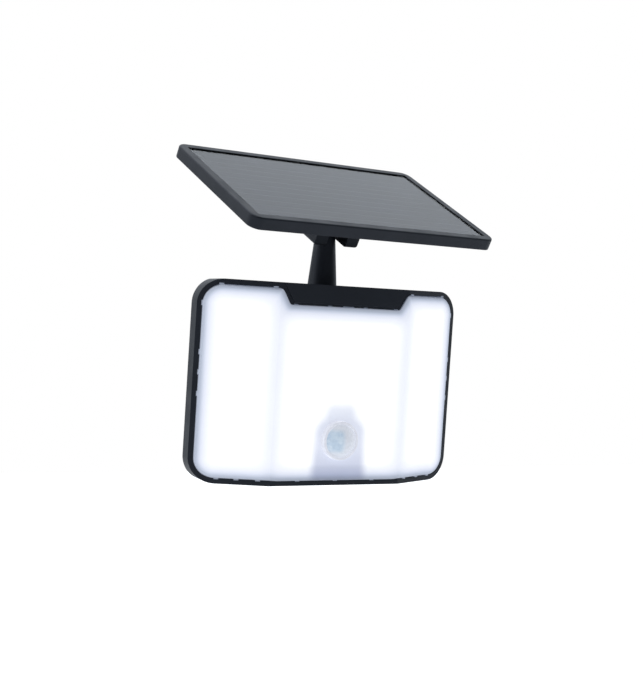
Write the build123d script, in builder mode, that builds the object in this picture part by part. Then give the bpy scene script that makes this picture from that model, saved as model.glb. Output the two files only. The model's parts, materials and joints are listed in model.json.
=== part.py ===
"""Solar flood light with a three-faced lamp head, a swivelling solar panel and a wall bracket.

The origin is the centre of the wall plate's back face. +Y runs into the wall, so the lamp looks along -Y,
and +Z is up. Every size is in millimetres.
"""

import os
from math import asin, atan2, cos, degrees, radians, tan

from build123d import *

# Rest pose
head_tilt = 8.1            # lamp head leans forward, face down
panel_swivel = 9.0         # post turned in the head, seen from above
panel_tilt = 25.9          # panel's front edge down, from square to the post

# Lamp head
head_width = 210.0
head_height = 142.5
corner_radius = 18.0
facet_half = 52.0          # half the width of the middle face
facet_set_back = 22.0      # how far the side faces run back at the ends of the head
side_depth = 10.0          # depth of the head's side walls
rim_width = 3.5
back_wall = 2.5
back_depth = 34.0          # back of the lamp compartment behind the middle
top_fall = 3.5             # degrees, the head's top slopes down behind its front faces
bezel_top_half = 50.6
bezel_bottom_half = 43.9
bezel_drop = 15.1
bezel_depth = 4.8
bezel_inner_radius = 6.5
bezel_outer_radius = 2.2
bezel_arm = 12.0           # the bezel's top runs on over the side faces
plate_margin = 2.4         # flush border of the bezel, round its raised plate
plate_proud = 1.2
plate_taper = 20.0

# Layers behind the front faces of the lamp head
diffuser_proud = 0.8
diffuser_wall = 2.0
diffuser_edge_radius = 2.4
skirt_depth = 5.0
gasket_thickness = 1.2
tray_front = 7.0
tray_thickness = 0.8
board_thickness = 1.0
fit_gap = 0.25
chip_height = 0.8

# Snap tabs round the diffuser, seen in notches of the rim
tab_recess = 0.3           # tab face behind the front of the rim
tab_depth = 3.4
tab_reach = 0.7
tab_width = 3.4
wide_tab = 9.0
notch_play = 0.15
side_top_tabs = (3.4, 41.0)              # along each side face, from its seam
side_bottom_tabs = (8.0, 23.0, 37.0)
end_tabs = (62.0, 77.0, 91.0, 125.0)     # heights on both ends of the head
middle_bottom_tabs = (-30.0, 0.0, 30.0)
bezel_tabs = (-39.5, -12.8, 16.0, 41.0)
wide_tab_x = 2.0

# Battery box at the back of the head
box_width = 116.0
box_height = 129.5
box_drop = 4.0             # top of the box below the top of the head
box_radius = 10.0
box_wall = 2.5
box_back = 54.0
seal_thickness = 1.0
cover_thickness = 3.0
cover_screw_inset = 6.5

# Motion sensor in the middle face
sensor_height = 32.5
lens_radius = 11.8
lens_sink = 1.0            # the lens's dome starts below the front of its collar
lens_rise = 6.5
lens_wall = 0.8
sensor_ring_radius = 14.0
ring_height = 5.0
ring_taper = 3.0

# Post between head and panel
post_depth = 40.4          # post axis behind the front of the middle face
post_seat = 2.2            # seat of the post below the top of the head
post_base_radius = 10.7    # at the height of the head's top
post_slope = 0.0875        # radius lost per millimetre of height
journal_radius = 8.0
journal_length = 21.0
socket_radius = 11.0
running_gap = 0.05
washer_thickness = 0.8
pivot_height = 48.6        # panel hinge above the top of the head
tongue_radius = 9.0
tongue_half = 8.6

# Solar panel
panel_length = 213.8
panel_width = 122.2
panel_thickness = 8.7
panel_radius = 8.0
panel_border = 6.5
frame_wall = 3.0
frame_top_radius = 1.3
frame_low_radius = 0.4
glass_recess = 0.55
glass_seal = 0.3
glass_thickness = 2.5
cell_thickness = 0.3
backsheet_thickness = 0.5
back_plate_thickness = 2.2
panel_rise = 14.5          # underside of the panel above the hinge
panel_forward = 4.76       # centre of the panel in front of the hinge
cell_rows = 12
ear_inner = 8.8
ear_outer = 19.4
ear_front = 21.06
ear_back = 11.0
ear_drop = 12.7
tilt_bolt_radius = 2.5
ear_recess = 6.0

# Hinges behind the head
head_pivot_depth = 72.0
head_pivot_height = 71.0
pivot_from_wall = 68.0
pan_from_wall = 18.0
hinge_bolt_radius = 3.0
head_tongue_half = 8.0
head_tongue_radius = 9.0
head_ear_thickness = 5.0
hinge_washer = 1.0
lug_inner = 12.0
lug_thickness = 6.0
lug_radius = 9.0

# Wall plate
plate_width = 76.0
plate_height = 92.0
plate_thickness = 4.0
plate_hole_spacing_x = 54.0
plate_hole_spacing_z = 70.0
plate_hole_radius = 2.4

# Mode button
button_x = 38.0
button_height = 100.0
button_radius = 5.8
button_travel = 1.2

facet_angle = degrees(atan2(facet_set_back, head_width / 2 - facet_half))
head_side_back = facet_set_back + side_depth
over = 2.0                 # how far a cutting profile runs past what it cuts


def sub_frame(frame, x=0.0, y=0.0, z=0.0, about_x=0.0, about_z=0.0):
    """A frame placed at a point of another one and turned about its own axes."""
    return Plane(frame.location * Location((x, y, z), (about_x, 0, about_z)))


def level(frame, height, x=0.0, y=0.0):
    """Plane square to the frame's Z. Its own axes are the frame's X and Y."""
    return Plane(origin=frame.from_local_coords((x, y, height)), x_dir=frame.x_dir, z_dir=frame.z_dir)


def facing_front(frame, depth, x=0.0, z=0.0):
    """Plane that looks out along the frame's -Y. Its own axes are the frame's X and Z."""
    return Plane(origin=frame.from_local_coords((x, depth, z)), x_dir=frame.x_dir, z_dir=-frame.y_dir)


def facing_side(frame, x, y=0.0, z=0.0):
    """Plane that looks out along the frame's X. Its own axes are the frame's Y and Z."""
    return Plane(origin=frame.from_local_coords((x, y, z)), x_dir=frame.y_dir, z_dir=frame.x_dir)


WALL = Plane.XY
PIVOT = sub_frame(WALL, y=-pivot_from_wall, about_x=head_tilt)
HEAD = sub_frame(PIVOT, y=-head_pivot_depth, z=-head_pivot_height)
POST = sub_frame(HEAD, y=post_depth, z=head_height, about_z=panel_swivel)
PANEL = sub_frame(POST, z=pivot_height, about_x=panel_tilt)
FACETS = {
    "left": sub_frame(HEAD, x=-facet_half, about_z=-facet_angle),
    "centre": HEAD,
    "right": sub_frame(HEAD, x=facet_half, about_z=facet_angle),
}


def facet_line(depth, reach):
    """Points, left to right, of the line that runs a depth behind the three front faces."""
    seam = facet_half - depth * tan(radians(facet_angle / 2))
    edge = (reach - facet_half) * tan(radians(facet_angle)) + depth / cos(radians(facet_angle))
    return [(-reach, edge), (-seam, depth), (seam, depth), (reach, edge)]


def facet_layer(front, back, reach=head_width / 2):
    """Outline, seen from above, of an even layer behind the three front faces."""
    return facet_line(front, reach) + facet_line(back, reach)[::-1]


def bezel_outline(grow=0.0):
    """Dark bezel over the top of the middle face, from the front, grown on its free sides."""
    rim_line = head_height - rim_width - grow
    low_line = head_height - bezel_drop - grow
    top = bezel_top_half + grow
    low = bezel_bottom_half + grow
    with BuildSketch() as outline:
        Polygon(
            (-top - bezel_arm, head_height + over),
            (-top - bezel_arm, rim_line),
            (-top, rim_line),
            (-low, low_line),
            (low, low_line),
            (top, rim_line),
            (top + bezel_arm, rim_line),
            (top + bezel_arm, head_height + over),
            align=None,
        )
        inner_corners = outline.vertices().filter_by(lambda v: abs(abs(v.X) - top) < 0.01)
        fillet(inner_corners, bezel_inner_radius - grow)
        low_corners = outline.vertices().filter_by(lambda v: abs(v.Y - low_line) < 0.01)
        fillet(low_corners, bezel_outer_radius + grow)
    return outline.sketch


def write(part, name):
    """Labels a finished piece and writes its STEP file."""
    part.part.label = name
    export_step(part.part, f"parts/{name}.step")


os.makedirs("parts", exist_ok=True)

# ---------------------------------------------------------------- lamp head: snap tabs
skirt_inset = rim_width + fit_gap
side_edge_depth = facet_line(0, head_width / 2 - skirt_inset)[0][1]
bezel_edge = head_height - bezel_drop - fit_gap


def tab_places():
    """Plane, centre and size of every snap tab's front, the centre being on the edge of the skirt."""
    places = []
    across = (tab_width, 2 * tab_reach)
    upright = (2 * tab_reach, tab_width)
    for side, sign in (("left", -1), ("right", 1)):
        front = facing_front(FACETS[side], tab_recess)
        for reach in side_top_tabs:
            places.append((front, (sign * reach, head_height - skirt_inset), across))
        for reach in side_bottom_tabs:
            places.append((front, (sign * reach, skirt_inset), across))
        edge = facing_front(HEAD, side_edge_depth + tab_recess)
        for height in end_tabs:
            places.append((edge, (sign * (head_width / 2 - skirt_inset), height), upright))
    middle = facing_front(HEAD, tab_recess)
    for x in bezel_tabs:
        places.append((middle, (x, bezel_edge), across))
    places.append((middle, (wide_tab_x, bezel_edge), (wide_tab, 2 * tab_reach)))
    for x in middle_bottom_tabs:
        places.append((middle, (x, skirt_inset), across))
    return places


# ---------------------------------------------------------------- lamp head: housing
middle_height = head_height / 2
before = -20.0             # in front of the whole head
far_back = 90.0            # more than the head's depth, from there
ledge_front = skirt_depth + gasket_thickness
ledge_back = ledge_front + 2.8
ledge_reach = 3.5
cavity_width = head_width - 2 * rim_width
cavity_height = head_height - 2 * rim_width
box_top = head_height - box_drop
box_bottom = box_top - box_height
box_middle = box_bottom + box_height / 2
cover_screws_x = box_width / 2 - cover_screw_inset
cover_screws_z = (box_bottom + cover_screw_inset, box_top - cover_screw_inset)
cover_screw_places = [(x, z) for x in (-cover_screws_x, cover_screws_x) for z in cover_screws_z]
cover_back = box_back + seal_thickness + cover_thickness
cover_boss_radius = 4.2
cover_screw_hole = 1.5
tray_screws = [(x, z) for x in (-30.0, 30.0) for z in (26.0, 114.0)]
tray_post_radius = 3.0
tray_screw_hole = 1.0
tray_clearance_hole = 1.3
screw_hole_depth = 12.0
bezel_skin = 2.5
bezel_pocket_height = 8.0
clip_room = 4.0
clip_level = head_height - journal_length + 1.2
lead_slot = (-44.0, 96.0)
lead_slot_length = 18.0
lead_slot_width = 7.0

with BuildPart() as lamp_cavity:
    with BuildSketch(level(HEAD, 0)):
        back_inside = head_side_back - back_wall
        Polygon(
            *facet_line(-over, head_width / 2),
            (head_width / 2, back_inside),
            (box_width / 2, back_depth - back_wall),
            (-box_width / 2, back_depth - back_wall),
            (-head_width / 2, back_inside),
            align=None,
        )
    extrude(amount=head_height)
    with BuildSketch(facing_front(HEAD, before, z=middle_height)):
        RectangleRounded(cavity_width, cavity_height, corner_radius - rim_width)
    extrude(amount=-far_back, mode=Mode.INTERSECT)

with BuildPart() as gasket_ledge:
    with BuildSketch(level(HEAD, 0)):
        Polygon(*facet_layer(ledge_front, ledge_back), align=None)
    extrude(amount=head_height)
    with BuildSketch(facing_front(HEAD, before, z=middle_height)):
        RectangleRounded(cavity_width + 1, cavity_height + 1, corner_radius - rim_width)
        ledge_inset = rim_width + ledge_reach
        width = head_width - 2 * ledge_inset
        height = head_height - 2 * ledge_inset
        RectangleRounded(width, height, corner_radius - ledge_inset, mode=Mode.SUBTRACT)
    extrude(amount=-far_back, mode=Mode.INTERSECT)

with BuildPart() as bezel:
    with BuildSketch(facing_front(HEAD, 0)):
        add(bezel_outline())
    extrude(amount=-2 * bezel_depth)
    with BuildSketch(level(HEAD, head_height - 2 * bezel_drop)):
        Polygon(*facet_layer(0, bezel_depth), align=None)
    extrude(amount=4 * bezel_drop, mode=Mode.INTERSECT)
    # Raised plate inside the flush border, up to the top of the head
    bezel_low = head_height - bezel_drop
    bezel_slope = (bezel_top_half - bezel_bottom_half) / (bezel_drop - rim_width)
    plate_low_half = bezel_bottom_half - plate_margin
    with BuildSketch(facing_front(HEAD, 0)):
        plate_rise = bezel_drop + plate_proud
        Polygon(
            (-plate_low_half - bezel_slope * plate_rise, bezel_low + plate_rise),
            (-plate_low_half, bezel_low + plate_margin / 2),
            (plate_low_half, bezel_low + plate_margin / 2),
            (plate_low_half + bezel_slope * plate_rise, bezel_low + plate_rise),
            align=None,
        )
    extrude(amount=plate_proud, taper=plate_taper)

with BuildPart() as lamp_housing:
    with BuildSketch(level(HEAD, 0)):
        Polygon(
            *facet_line(0, head_width / 2),
            (head_width / 2, head_side_back),
            (box_width / 2, back_depth),
            (-box_width / 2, back_depth),
            (-head_width / 2, head_side_back),
            align=None,
        )
    extrude(amount=head_height)
    with BuildSketch(facing_front(HEAD, before, z=middle_height)):
        RectangleRounded(head_width, head_height, corner_radius)
    extrude(amount=-far_back, mode=Mode.INTERSECT)
    # Battery box behind the lamp compartment
    with BuildSketch(facing_front(HEAD, back_depth - back_wall, z=box_middle)):
        RectangleRounded(box_width, box_height, box_radius)
    extrude(amount=-(box_back - back_depth + back_wall))
    add(lamp_cavity.part, mode=Mode.SUBTRACT)
    with BuildSketch(facing_front(HEAD, back_depth, z=box_middle)):
        RectangleRounded(box_width - 2 * box_wall, box_height - 2 * box_wall, box_radius - box_wall)
    extrude(amount=-(box_back - back_depth), mode=Mode.SUBTRACT)
    add(gasket_ledge.part)
    # Bezel plate with a pocket behind it
    add(bezel.part)
    with BuildSketch(facing_front(HEAD, bezel_skin)):
        with Locations((0, head_height - rim_width - bezel_pocket_height / 2 - 0.5)):
            Rectangle(2 * (bezel_bottom_half - rim_width), bezel_pocket_height)
    extrude(amount=-bezel_depth, mode=Mode.SUBTRACT)
    # Notches for the snap tabs, open to the front
    for front, centre, size in tab_places():
        with BuildSketch(front.offset(tab_recess + 1)):
            with Locations(centre):
                Rectangle(size[0] + 2 * notch_play, size[1] + 2 * notch_play)
        extrude(amount=-(tab_depth + tab_recess + 1 + notch_play), mode=Mode.SUBTRACT)
    # Trim what stands above the top of the head, which falls away behind each front face
    with BuildSketch(level(HEAD, head_height)):
        Rectangle(2 * head_width, 2 * head_width)
    extrude(amount=5, mode=Mode.SUBTRACT)
    fall = far_back * tan(radians(top_fall))
    for side, start, length in (
        ("left", -head_width, head_width),
        ("centre", -facet_half, 2 * facet_half),
        ("right", 0, head_width),
    ):
        with BuildSketch(facing_side(FACETS[side], start)):
            Polygon((0, head_height), (far_back, head_height), (far_back, head_height - fall), align=None)
        extrude(amount=length, mode=Mode.SUBTRACT)
    # Bosses for the cover screws, posts for the tray screws and the post's socket
    with BuildSketch(facing_front(HEAD, box_back)):
        with Locations(*cover_screw_places):
            Circle(cover_boss_radius)
    extrude(amount=box_back - back_depth + 1)
    with BuildSketch(facing_front(HEAD, tray_front + tray_thickness)):
        with Locations(*tray_screws):
            Circle(tray_post_radius)
    extrude(amount=-(back_depth - back_wall - tray_front))
    with BuildSketch(level(HEAD, clip_level, y=post_depth)):
        Circle(socket_radius)
    extrude(amount=head_height - post_seat - clip_level)
    with BuildSketch(level(HEAD, head_height - post_seat, y=post_depth)):
        Circle(post_base_radius + 0.5)
    extrude(amount=post_seat, mode=Mode.SUBTRACT)
    with BuildSketch(level(HEAD, head_height, y=post_depth)):
        Circle(journal_radius + running_gap)
    extrude(amount=-journal_length - 2, mode=Mode.SUBTRACT)
    # Room for the clip that holds the post
    with BuildSketch(level(HEAD, clip_level, y=post_depth)):
        Circle(socket_radius - 0.5)
    extrude(amount=-clip_room, mode=Mode.SUBTRACT)
    with BuildSketch(facing_front(HEAD, box_back)):
        with Locations(*cover_screw_places):
            Circle(cover_screw_hole)
    extrude(amount=screw_hole_depth, mode=Mode.SUBTRACT)
    with BuildSketch(facing_front(HEAD, tray_front)):
        with Locations(*tray_screws):
            Circle(tray_screw_hole)
    extrude(amount=-screw_hole_depth, mode=Mode.SUBTRACT)
    # Slot for the leads between the two compartments
    with BuildSketch(facing_front(HEAD, back_depth + over)):
        with Locations(lead_slot):
            SlotOverall(lead_slot_length, lead_slot_width, rotation=90)
    extrude(amount=back_wall + 2 * over, mode=Mode.SUBTRACT)
write(lamp_housing, "lamp_housing")

# ---------------------------------------------------------------- lamp head: front

with BuildPart() as diffuser_hollow:
    with BuildSketch(level(HEAD, 0)):
        Polygon(*facet_layer(diffuser_wall - diffuser_proud, 20), align=None)
    extrude(amount=head_height)
    with BuildSketch(facing_front(HEAD, before, z=middle_height)):
        inner = skirt_inset + diffuser_wall
        RectangleRounded(head_width - 2 * inner, head_height - 2 * inner, corner_radius - inner)
    extrude(amount=-far_back, mode=Mode.INTERSECT)
    with BuildSketch(facing_front(HEAD, before)):
        add(bezel_outline(fit_gap + diffuser_wall))
    extrude(amount=-far_back, mode=Mode.SUBTRACT)


def is_front_rim(edge):
    """Whether an edge runs round the front of the diffuser, and isn't a seam or a corner of the skirt."""
    points = [HEAD.to_local_coords(edge @ t) for t in (0, 0.5, 1)]
    reach = [max(abs(p.X), facet_half) for p in points]
    depth = [facet_line(-diffuser_proud, x)[-1][1] for x in reach]
    on_front = all(abs(p.Y - y) < 0.05 for p, y in zip(points, depth))
    low = skirt_inset + 0.05
    is_seam = abs(points[1].X) < head_width / 2 - low and low < points[1].Z < head_height - low
    return on_front and not is_seam


with BuildPart() as diffuser:
    with BuildSketch(level(HEAD, 0)):
        Polygon(*facet_layer(-diffuser_proud, skirt_depth), align=None)
    extrude(amount=head_height)
    with BuildSketch(facing_front(HEAD, before, z=middle_height)):
        RectangleRounded(
            head_width - 2 * skirt_inset, head_height - 2 * skirt_inset, corner_radius - skirt_inset
        )
    extrude(amount=-far_back, mode=Mode.INTERSECT)
    fillet(diffuser.edges().filter_by(is_front_rim), diffuser_edge_radius)
    with BuildSketch(facing_front(HEAD, before)):
        add(bezel_outline(fit_gap))
    extrude(amount=-far_back, mode=Mode.SUBTRACT)
    for front, centre, size in tab_places():
        with BuildSketch(front):
            with Locations(centre):
                Rectangle(*size)
        extrude(amount=-tab_depth)
    add(diffuser_hollow.part, mode=Mode.SUBTRACT)
    with BuildSketch(facing_front(HEAD, -5)):
        with Locations((0, sensor_height)):
            Circle(lens_radius + 0.3)
    extrude(amount=-10, mode=Mode.SUBTRACT)
write(diffuser, "diffuser")

with BuildPart() as diffuser_gasket:
    with BuildSketch(level(HEAD, 0)):
        Polygon(*facet_layer(skirt_depth, ledge_front), align=None)
    extrude(amount=head_height)
    with BuildSketch(facing_front(HEAD, before, z=middle_height)):
        for inset, mode in ((rim_width + 0.2, Mode.ADD), (rim_width + 2.8, Mode.SUBTRACT)):
            width = head_width - 2 * inset
            RectangleRounded(width, head_height - 2 * inset, corner_radius - inset, mode=mode)
    extrude(amount=-far_back, mode=Mode.INTERSECT)
write(diffuser_gasket, "diffuser_gasket")

with BuildPart() as reflector_tray:
    with BuildSketch(level(HEAD, 0)):
        Polygon(*facet_layer(skirt_depth - 1.5, tray_front + tray_thickness), align=None)
    extrude(amount=head_height)
    with BuildSketch(facing_front(HEAD, before, z=middle_height)):
        tray_inset = rim_width + 4.0
        width = head_width - 2 * tray_inset
        RectangleRounded(width, head_height - 2 * tray_inset, corner_radius - tray_inset)
    extrude(amount=-far_back, mode=Mode.INTERSECT)
    # A 0.8 mm rim is left round the flat tray
    with BuildSketch(level(HEAD, tray_inset + tray_thickness)):
        Polygon(*facet_layer(-5, tray_front, head_width / 2 - tray_inset - tray_thickness), align=None)
    extrude(amount=head_height - 2 * (tray_inset + tray_thickness), mode=Mode.SUBTRACT)
    with BuildSketch(facing_front(HEAD, before)):
        add(bezel_outline(fit_gap + diffuser_wall + 0.5))
    extrude(amount=before - tray_front, mode=Mode.SUBTRACT)
    with BuildSketch(facing_front(HEAD, 0)):
        with Locations(*tray_screws):
            Circle(tray_clearance_hole)
    extrude(amount=-20, mode=Mode.SUBTRACT)
write(reflector_tray, "reflector_tray")

# ---------------------------------------------------------------- lamp head: LED boards
board_bottom = 15.0
side_board_width = 40.0
side_board_height = head_height - 2 * board_bottom
side_board_start = 4.0
centre_board_width = 96.0
centre_board_height = 108.0
chip_width = 2.8
chip_length = 3.5
board_centre = {
    "left": (-side_board_start - side_board_width / 2, board_bottom + side_board_height / 2),
    "centre": (0.0, board_bottom + centre_board_height / 2),
    "right": (side_board_start + side_board_width / 2, board_bottom + side_board_height / 2),
}
board_size = {
    "left": (side_board_width, side_board_height),
    "centre": (centre_board_width, centre_board_height),
    "right": (side_board_width, side_board_height),
}


def chip_places(side):
    """Centres of the LEDs on one board; the middle board leaves the motion sensor's corner free."""
    width, height = board_size[side]
    columns = 4 if side != "centre" else 8
    rows = 8
    places = []
    for column in range(columns):
        for row in range(rows):
            x = board_centre[side][0] + (column - (columns - 1) / 2) * width / columns
            z = board_centre[side][1] + (row - (rows - 1) / 2) * height / rows
            near_sensor = side == "centre" and abs(x) < 28 and z < 64
            near_screw = side == "centre" and any(abs(x - a) < 5 and abs(z - b) < 6 for a, b in tray_screws)
            if not near_sensor and not near_screw:
                places.append((x, z))
    return places


for side, facet in FACETS.items():
    with BuildPart() as led_board:
        with BuildSketch(facing_front(facet, tray_front - board_thickness)):
            with Locations(board_centre[side]):
                RectangleRounded(*board_size[side], 3)
        extrude(amount=-board_thickness)
        if side == "centre":
            with BuildSketch(facing_front(HEAD, 0)):
                with Locations(*tray_screws):
                    Circle(tray_clearance_hole)
            extrude(amount=-20, mode=Mode.SUBTRACT)
    write(led_board, f"led_board_{side}")

    with BuildPart() as led_chips:
        with BuildSketch(facing_front(facet, tray_front - board_thickness)):
            with Locations(*chip_places(side)):
                Rectangle(chip_width, chip_length)
        extrude(amount=chip_height)
    write(led_chips, f"led_chips_{side}")

tray_screw_head_radius = 2.2
tray_screw_head = 1.2
tray_screw_length = 10.0

with BuildPart() as tray_screw_set:
    with BuildSketch(facing_front(HEAD, tray_front - board_thickness)):
        with Locations(*tray_screws):
            Circle(tray_screw_head_radius)
    extrude(amount=tray_screw_head)
    with BuildSketch(facing_front(HEAD, tray_front - board_thickness)):
        with Locations(*tray_screws):
            Circle(tray_screw_hole - running_gap)
    extrude(amount=-tray_screw_length)
write(tray_screw_set, "tray_screws")

# ---------------------------------------------------------------- lamp head: motion sensor
lens_seat = diffuser_wall - diffuser_proud
lens_flange = 1.0
lens_flange_radius = lens_radius + 1.5
lens_front = -diffuser_proud - ring_height + lens_sink
lens_sphere = (lens_radius**2 + lens_rise**2) / (2 * lens_rise)

with BuildPart() as motion_lens:
    with BuildSketch(facing_side(HEAD, 0, z=sensor_height)):
        # Half section, revolved about the line of sight
        with BuildLine():
            middle = (lens_front - lens_rise + lens_sphere, 0)
            inner_radius = lens_radius - lens_wall
            inner_sphere = lens_sphere - lens_wall
            outer_angle = degrees(asin(lens_radius / lens_sphere))
            inner_angle = degrees(asin(inner_radius / inner_sphere))
            outside = CenterArc(middle, lens_sphere, 180, -outer_angle)
            inside = CenterArc(middle, inner_sphere, 180, -inner_angle)
            Polyline(
                outside @ 1,
                (lens_seat, lens_radius),
                (lens_seat, lens_flange_radius),
                (lens_seat + lens_flange, lens_flange_radius),
                (lens_seat + lens_flange, inner_radius),
                inside @ 1,
            )
            Line(inside @ 0, outside @ 0)
        make_face()
    lens_axis = Axis(HEAD.from_local_coords((0, 0, sensor_height)), HEAD.y_dir)
    revolve(axis=lens_axis)
write(motion_lens, "motion_lens")

with BuildPart() as motion_ring:
    with BuildSketch(facing_front(HEAD, -diffuser_proud, z=sensor_height)):
        Circle(sensor_ring_radius)
    extrude(amount=ring_height, taper=ring_taper)
    front_face = motion_ring.faces().sort_by(Axis(HEAD.origin, HEAD.y_dir))[0]
    fillet(front_face.edges(), 0.8)
    with BuildSketch(facing_front(HEAD, -diffuser_proud, z=sensor_height)):
        Circle(lens_radius + 0.1)
    extrude(amount=ring_height, mode=Mode.SUBTRACT)
write(motion_ring, "motion_ring")

sensor_flange_radius = 4.9
sensor_can_radius = 4.15
sensor_can_height = 3.6

with BuildPart() as motion_sensor:
    with BuildSketch(facing_front(HEAD, tray_front - board_thickness, z=sensor_height)):
        Circle(sensor_flange_radius)
    extrude(amount=0.6)
    with BuildSketch(facing_front(HEAD, tray_front - board_thickness, z=sensor_height)):
        Circle(sensor_can_radius)
    extrude(amount=sensor_can_height)
write(motion_sensor, "motion_sensor")

with BuildPart() as sensor_shroud:
    with BuildSketch(facing_front(HEAD, tray_front - board_thickness, z=sensor_height)):
        Circle(lens_radius - 0.2)
        Circle(lens_radius - 1.2, mode=Mode.SUBTRACT)
    extrude(amount=tray_front - board_thickness - lens_seat - lens_flange - 0.1)
write(sensor_shroud, "sensor_shroud")

# ---------------------------------------------------------------- battery box
cell_radius = 9.2
cell_length = 65.0
cell_depth = 44.7
cell_heights = (34.0, 54.0)
holder_wall = 1.4
holder_front = back_depth
holder_height = 41.5

with BuildPart() as battery_holder:
    middle = sum(cell_heights) / 2
    with BuildSketch(facing_front(HEAD, holder_front, z=middle)):
        RectangleRounded(cell_length + 10, holder_height, 2)
    extrude(amount=-holder_wall)
    for end in (-1, 1):
        with BuildSketch(facing_front(HEAD, holder_front, x=end * (cell_length / 2 + 4.3), z=middle)):
            Rectangle(holder_wall, holder_height)
        extrude(amount=-14)
    # Low walls beside the cells
    for height in (middle - holder_height / 2 + 0.5, middle + holder_height / 2 - 0.5):
        with BuildSketch(facing_front(HEAD, holder_front, z=height)):
            Rectangle(cell_length + 8, 1)
        extrude(amount=-5)
write(battery_holder, "battery_holder")

with BuildPart() as battery_cells:
    for height in cell_heights:
        with BuildSketch(facing_side(HEAD, -cell_length / 2, y=cell_depth, z=height)):
            Circle(cell_radius)
        extrude(amount=cell_length - 1.0)
        with BuildSketch(facing_side(HEAD, cell_length / 2 - 1.0, y=cell_depth, z=height)):
            Circle(3.2)
        extrude(amount=1.0)
write(battery_cells, "battery_cells")

with BuildPart() as battery_contacts:
    for height in cell_heights:
        for end in (-1, 1):
            with BuildSketch(facing_side(HEAD, end * (cell_length / 2 + 0.2), y=cell_depth - 2.2, z=height)):
                Rectangle(12, 10)
            extrude(amount=end * 0.5)
            with BuildSketch(facing_side(HEAD, end * (cell_length / 2 + 0.7), y=cell_depth - 2.2, z=height)):
                Circle(3)
            extrude(amount=end * 2.9)
write(battery_contacts, "battery_contacts")

pcb_front = back_depth + 4.0
pcb_thickness = 1.6
pcb_back = pcb_front + pcb_thickness
pcb_middle = 97.0
pcb_posts = [(x, z) for x in (-40.0, 40.0) for z in (pcb_middle - 16, pcb_middle + 16)]

with BuildPart() as control_board:
    with BuildSketch(facing_front(HEAD, pcb_front, z=pcb_middle)):
        RectangleRounded(90, 42, 2)
    extrude(amount=-pcb_thickness)
write(control_board, "control_board")

with BuildPart() as board_standoffs:
    with BuildSketch(facing_front(HEAD, back_depth)):
        with Locations(*pcb_posts):
            Circle(2.5)
    extrude(amount=-(pcb_front - back_depth))
write(board_standoffs, "board_standoffs")

# Place on the board, width, height and how far each component stands off it
processor = (-18.0, 92.0, 8.0, 8.0, 1.6)
charger = (-2.0, 104.0, 5.0, 6.0, 1.5)
coil = (14.0, 90.0, 10.0, 10.0, 4.5)
panel_plug = (-32.0, 104.0, 8.0, 6.0, 5.5)
lamp_plug = (-32.0, 88.0, 8.0, 6.0, 5.5)

with BuildPart() as board_components:
    for x, z, width, height, tall in (processor, charger, coil, panel_plug, lamp_plug):
        with BuildSketch(facing_front(HEAD, pcb_back, x=x, z=z)):
            RectangleRounded(width, height, 0.5)
        extrude(amount=-tall)
write(board_components, "board_components")

with BuildPart() as button_switch:
    with BuildSketch(facing_front(HEAD, pcb_back, x=button_x, z=button_height)):
        RectangleRounded(6, 6, 0.5)
    extrude(amount=-3.5)
    with BuildSketch(facing_front(HEAD, pcb_back, x=button_x, z=button_height)):
        Circle(1.7)
    extrude(amount=-5.6)
write(button_switch, "button_switch")

with BuildPart() as cover_seal:
    with BuildSketch(facing_front(HEAD, box_back, z=box_middle)):
        RectangleRounded(box_width - 1.6, box_height - 1.6, box_radius - 0.8)
        RectangleRounded(box_width - 5, box_height - 5, box_radius - 2.5, mode=Mode.SUBTRACT)
    extrude(amount=-seal_thickness)
write(cover_seal, "cover_seal")

cover_front = box_back + seal_thickness
bracket_width = 44.0
bracket_height = 52.0
bracket_base = 3.0
bracket_screw_places = [(x, head_pivot_height + z) for x in (-17.0, 17.0) for z in (-21.0, 21.0)]
cover_edge_radius = 1.8
cover_screw_sink = 1.6
cover_screw_head_radius = 2.9
cover_screw_head = 1.4
cover_screw_length = 12.0

with BuildPart() as rear_cover:
    with BuildSketch(facing_front(HEAD, cover_front, z=box_middle)):
        RectangleRounded(box_width, box_height, box_radius)
    extrude(amount=-cover_thickness)
    rear_edges = rear_cover.faces().sort_by(Axis(HEAD.origin, HEAD.y_dir))[-1].edges()
    fillet(rear_edges, cover_edge_radius)
    with BuildSketch(facing_front(HEAD, cover_back)):
        with Locations(*cover_screw_places):
            Circle(cover_screw_head_radius + 0.3)
    extrude(amount=cover_screw_sink, mode=Mode.SUBTRACT)
    # Ring under each cover screw, down to the boss
    with BuildSketch(facing_front(HEAD, cover_front)):
        with Locations(*cover_screw_places):
            Circle(2.4)
    extrude(amount=seal_thickness)
    with BuildSketch(facing_front(HEAD, cover_back)):
        with Locations(*cover_screw_places):
            Circle(1.7)
    extrude(amount=8, mode=Mode.SUBTRACT)
    with BuildSketch(facing_front(HEAD, cover_front)):
        with Locations(*bracket_screw_places):
            Circle(3.2)
    extrude(amount=0.6)
    with BuildSketch(facing_front(HEAD, cover_back)):
        with Locations(*bracket_screw_places):
            Circle(1.25)
    extrude(amount=cover_thickness + 1, mode=Mode.SUBTRACT)
    with BuildSketch(facing_front(HEAD, cover_back + 1, x=button_x, z=button_height)):
        Circle(button_radius + 0.3)
    extrude(amount=cover_thickness + 3, mode=Mode.SUBTRACT)
write(rear_cover, "rear_cover")

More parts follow.
